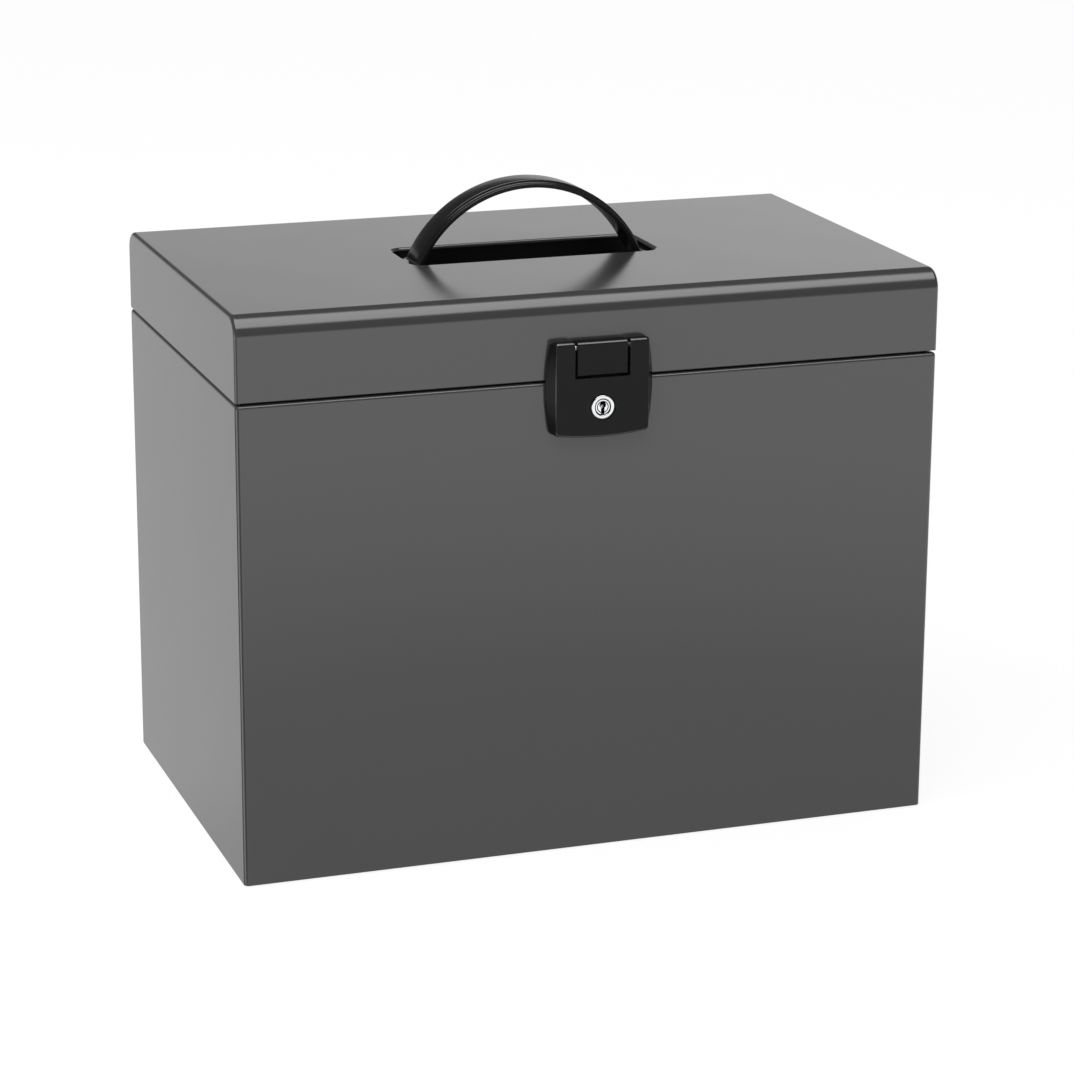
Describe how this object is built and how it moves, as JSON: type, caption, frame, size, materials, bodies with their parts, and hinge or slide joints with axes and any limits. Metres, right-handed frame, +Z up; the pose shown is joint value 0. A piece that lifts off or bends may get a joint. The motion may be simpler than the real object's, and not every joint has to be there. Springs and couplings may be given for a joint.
{
  "type": "portable file box",
  "caption": "Portable steel box for A4 hanging files, with a hinged lid, a pop-up strap handle in a recess and a locking hasp latch.",
  "frame": {"origin": "centre of the underside, on the surface that the box rests on", "axes": "+X along the width, -Y out of the front where the latch is, +Z up"},
  "size_m": [0.365, 0.2398, 0.3245],
  "materials": {
    "grey_paint": "satin dark grey paint",
    "black_plastic": "semi-gloss moulded black",
    "zinc_steel": "zinc plated",
    "lock_chrome": "bright chrome"
  },
  "bodies": {
    "case": {"body_shell": "grey_paint", "base_pan": "grey_paint", "rail_left": "zinc_steel", "rail_right": "zinc_steel", "hinge_body_leaf_left": "zinc_steel", "hinge_body_leaf_right": "zinc_steel", "hinge_body_rivets": "zinc_steel", "keeper_hook": "zinc_steel", "keeper_rivets": "zinc_steel"},
    "lid": {"lid_wrap": "grey_paint", "lid_end_left": "grey_paint", "lid_end_right": "grey_paint", "handle_tray": "black_plastic", "handle_leg_left": "black_plastic", "handle_leg_right": "black_plastic", "hinge_lid_leaf_left": "zinc_steel", "hinge_lid_leaf_right": "zinc_steel", "hinge_pin_left": "zinc_steel", "hinge_pin_right": "zinc_steel", "hinge_lid_rivets": "zinc_steel", "latch_base": "black_plastic", "latch_base_screws": "zinc_steel", "latch_pin": "zinc_steel"},
    "handle": {"handle_crown": "black_plastic"},
    "flap": {"latch_flap": "black_plastic", "lock_housing": "lock_chrome", "lock_nut": "zinc_steel"},
    "plug": {"lock_plug": "lock_chrome", "lock_cam": "zinc_steel", "cam_screw": "zinc_steel"}
  },
  "joints": [
    {"name": "lid_hinge", "type": "hinge", "parent": "case", "child": "lid", "pos_m": [0, 0.1151, 0.245], "axis": [-1, 0, 0], "range_deg": [0, 105]},
    {"name": "flap_hinge", "type": "hinge", "parent": "lid", "child": "flap", "pos_m": [0, -0.1162, 0.2616], "axis": [-1, 0, 0], "range_deg": [0, 95]},
    {"name": "plug_turn", "type": "hinge", "parent": "flap", "child": "plug", "pos_m": [0, -0.116, 0.232], "axis": [0, -1, 0], "range_deg": [0, 90]},
    {"name": "handle_press", "type": "slide", "parent": "lid", "child": "handle", "axis": [0, 0, -1], "range_m": [0, 0.03], "stiffness_N_per_m": 120, "deforming": ["handle_leg_left", "handle_leg_right"]}
  ]
}
